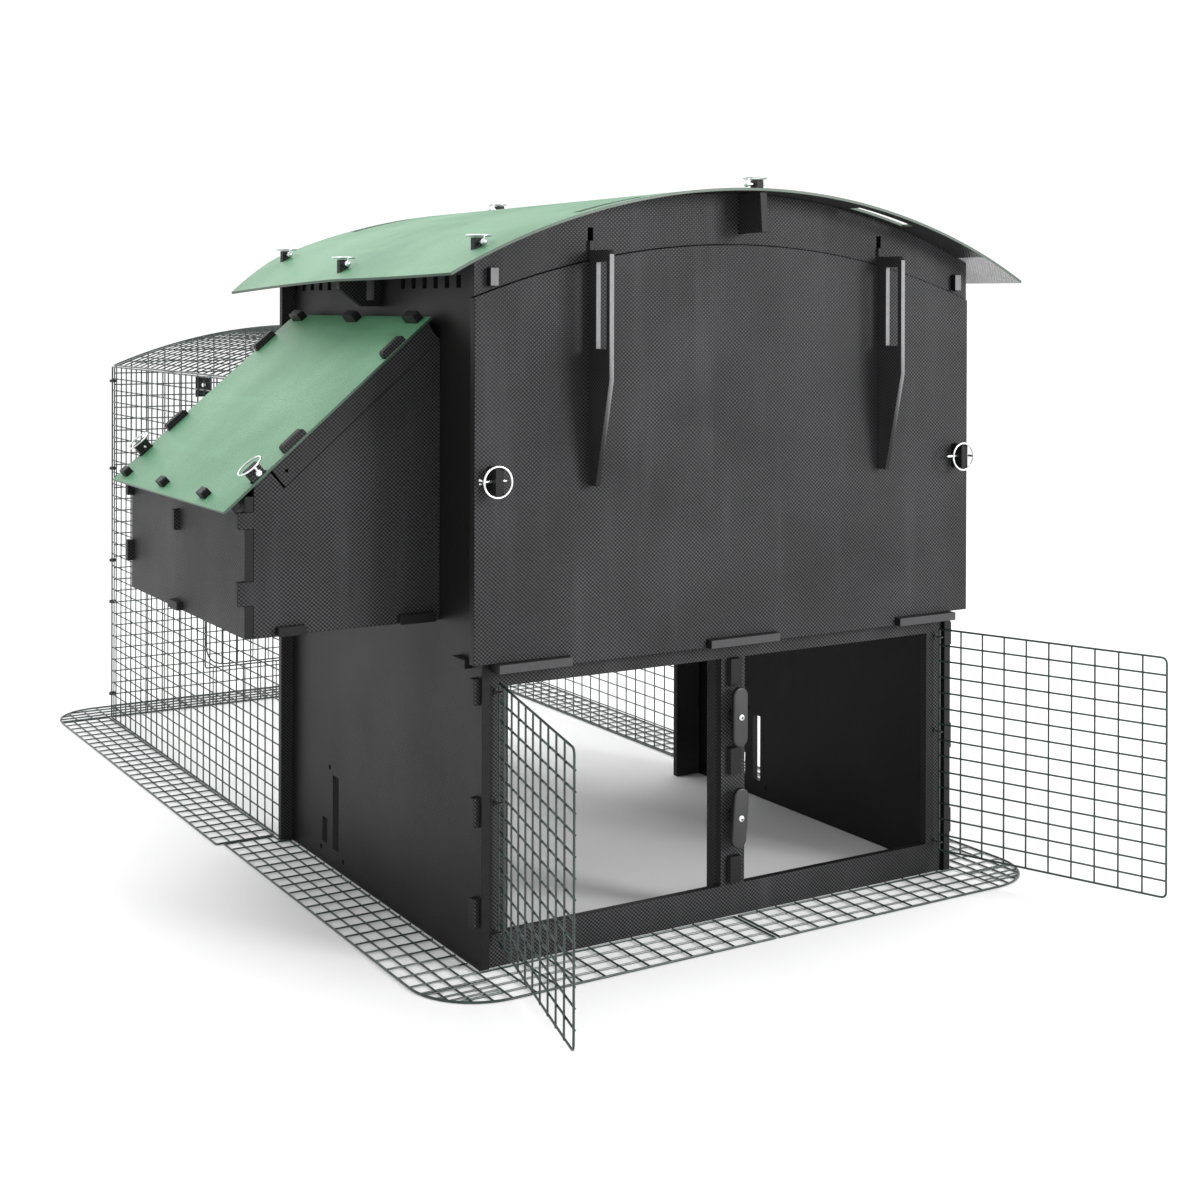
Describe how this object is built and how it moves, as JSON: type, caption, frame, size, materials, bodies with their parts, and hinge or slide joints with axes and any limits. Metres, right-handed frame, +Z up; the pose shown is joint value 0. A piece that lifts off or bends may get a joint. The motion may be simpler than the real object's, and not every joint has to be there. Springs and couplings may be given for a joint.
{
  "type": "chicken coop",
  "caption": "Raised board chicken coop with an arched green roof, side nest box, two open wire front doors, a long arched wire run behind it and a wire ground skirt.",
  "frame": {"origin": "on the ground under the middle of the front board, half way through its thickness", "axes": "+X to the right seen from the front, +Y back along the run, +Z up"},
  "size_m": [1.2786, 2.1726, 1.084],
  "materials": {
    "black_board": "embossed recycled plastic board",
    "wall_board": "satin recycled plastic board",
    "green_board": "embossed recycled plastic sheet",
    "coated_wire": "plastic-coated welded wire",
    "pin_steel": "bright plated steel",
    "screw_steel": "plated steel",
    "black_steel": "black coated steel",
    "black_fitting": "moulded plastic",
    "perch_wood": "planed softwood"
  },
  "bodies": {
    "coop": {"left_wall": "wall_board", "right_wall": "wall_board", "front_board": "black_board", "post_beam": "black_board", "rear_wall": "black_board", "house_floor": "black_board", "front_gable": "black_board", "ridge_board": "black_board", "perch_front": "perch_wood", "perch_rear": "perch_wood", "eave_bracket_left": "black_board", "eave_bracket_right": "black_board", "roof_sheet": "green_board", "roof_linchpins": "pin_steel", "nest_floor": "black_board", "nest_outer_wall": "black_board", "nest_side_front": "black_board", "nest_side_rear": "black_board", "nest_divider": "black_board", "left_door_eyes": "black_steel", "right_door_eyes": "black_steel", "turn_button_screws": "screw_steel", "pop_door_guides": "black_board", "ramp_brackets": "black_board", "run_left_mesh": "coated_wire", "run_right_mesh": "coated_wire", "run_roof_mesh": "coated_wire", "run_end_mesh": "coated_wire", "run_door_rings": "black_steel", "run_door_latch": "black_fitting", "run_clips": "black_fitting", "skirt_left": "coated_wire", "skirt_right": "coated_wire", "run_skirt_left": "coated_wire", "run_skirt_right": "coated_wire", "run_skirt_end": "coated_wire"},
    "left_door": {"left_door": "coated_wire"},
    "right_door": {"right_door": "coated_wire"},
    "upper_button": {"turn_button_upper": "black_fitting"},
    "lower_button": {"turn_button_lower": "black_fitting"},
    "panel": {"front_panel": "black_board", "panel_handle_left": "black_board", "panel_handle_right": "black_board"},
    "panel_pin_left": {"panel_pin_left": "pin_steel"},
    "panel_pin_right": {"panel_pin_right": "pin_steel"},
    "lid": {"nest_lid": "green_board", "lid_hooks": "black_board", "lid_batten": "black_board", "lid_cheek_front": "black_board", "lid_cheek_rear": "black_board"},
    "lid_pin_front": {"nest_pin_front": "pin_steel"},
    "lid_pin_rear": {"nest_pin_rear": "pin_steel"},
    "pop_door": {"pop_door": "black_board"},
    "ramp": {"ramp": "black_board"},
    "run_door": {"run_end_door": "coated_wire"}
  },
  "joints": [
    {"name": "left_door_swing", "type": "hinge", "parent": "coop", "child": "left_door", "pos_m": [-0.395, -0.016, 0], "axis": [0, 0, 1], "range_deg": [-60, 104.5]},
    {"name": "right_door_swing", "type": "hinge", "parent": "coop", "child": "right_door", "pos_m": [0.395, -0.016, 0], "axis": [0, 0, 1], "range_deg": [-110.5, 50]},
    {"name": "upper_button_turn", "type": "hinge", "parent": "coop", "child": "upper_button", "pos_m": [0, -0.023, 0.296], "axis": [0, 1, 0], "range_deg": [-90, 90]},
    {"name": "lower_button_turn", "type": "hinge", "parent": "coop", "child": "lower_button", "pos_m": [0, -0.023, 0.148], "axis": [0, 1, 0], "range_deg": [-90, 90]},
    {"name": "panel_slide", "type": "slide", "parent": "coop", "child": "panel", "axis": [0, -1, 0], "range_m": [0, 0.06]},
    {"name": "panel_pin_left_slide", "type": "slide", "parent": "coop", "child": "panel_pin_left", "axis": [-1, 0, 0], "range_m": [0, 0.32]},
    {"name": "panel_pin_right_slide", "type": "slide", "parent": "coop", "child": "panel_pin_right", "axis": [1, 0, 0], "range_m": [0, 0.32]},
    {"name": "lid_swing", "type": "hinge", "parent": "coop", "child": "lid", "pos_m": [-0.436, 0, 0.879], "axis": [0, 1, 0], "range_deg": [0, 60]},
    {"name": "lid_pin_front_slide", "type": "slide", "parent": "coop", "child": "lid_pin_front", "axis": [0, -1, 0], "range_m": [0, 0.32]},
    {"name": "lid_pin_rear_slide", "type": "slide", "parent": "coop", "child": "lid_pin_rear", "axis": [0, 1, 0], "range_m": [0, 0.32]},
    {"name": "pop_door_slide", "type": "slide", "parent": "coop", "child": "pop_door", "axis": [0, 0, 1], "range_m": [0, 0.26]},
    {"name": "ramp_swing", "type": "hinge", "parent": "coop", "child": "ramp", "pos_m": [0, 0.7015, 0.398], "axis": [1, 0, 0], "range_deg": [0, 30]},
    {"name": "run_door_swing", "type": "hinge", "parent": "coop", "child": "run_door", "pos_m": [0.219, 1.7035, 0], "axis": [0, 0, 1], "range_deg": [-110, 0]}
  ],
  "couplings": [
    {"joint": "panel_pin_left_slide", "follows": "panel_slide", "ratio": 5.2},
    {"joint": "panel_pin_right_slide", "follows": "panel_slide", "ratio": 5.2},
    {"joint": "lid_pin_front_slide", "follows": "lid_swing", "m_per_rad": 0.3},
    {"joint": "lid_pin_rear_slide", "follows": "lid_swing", "m_per_rad": 0.3}
  ]
}
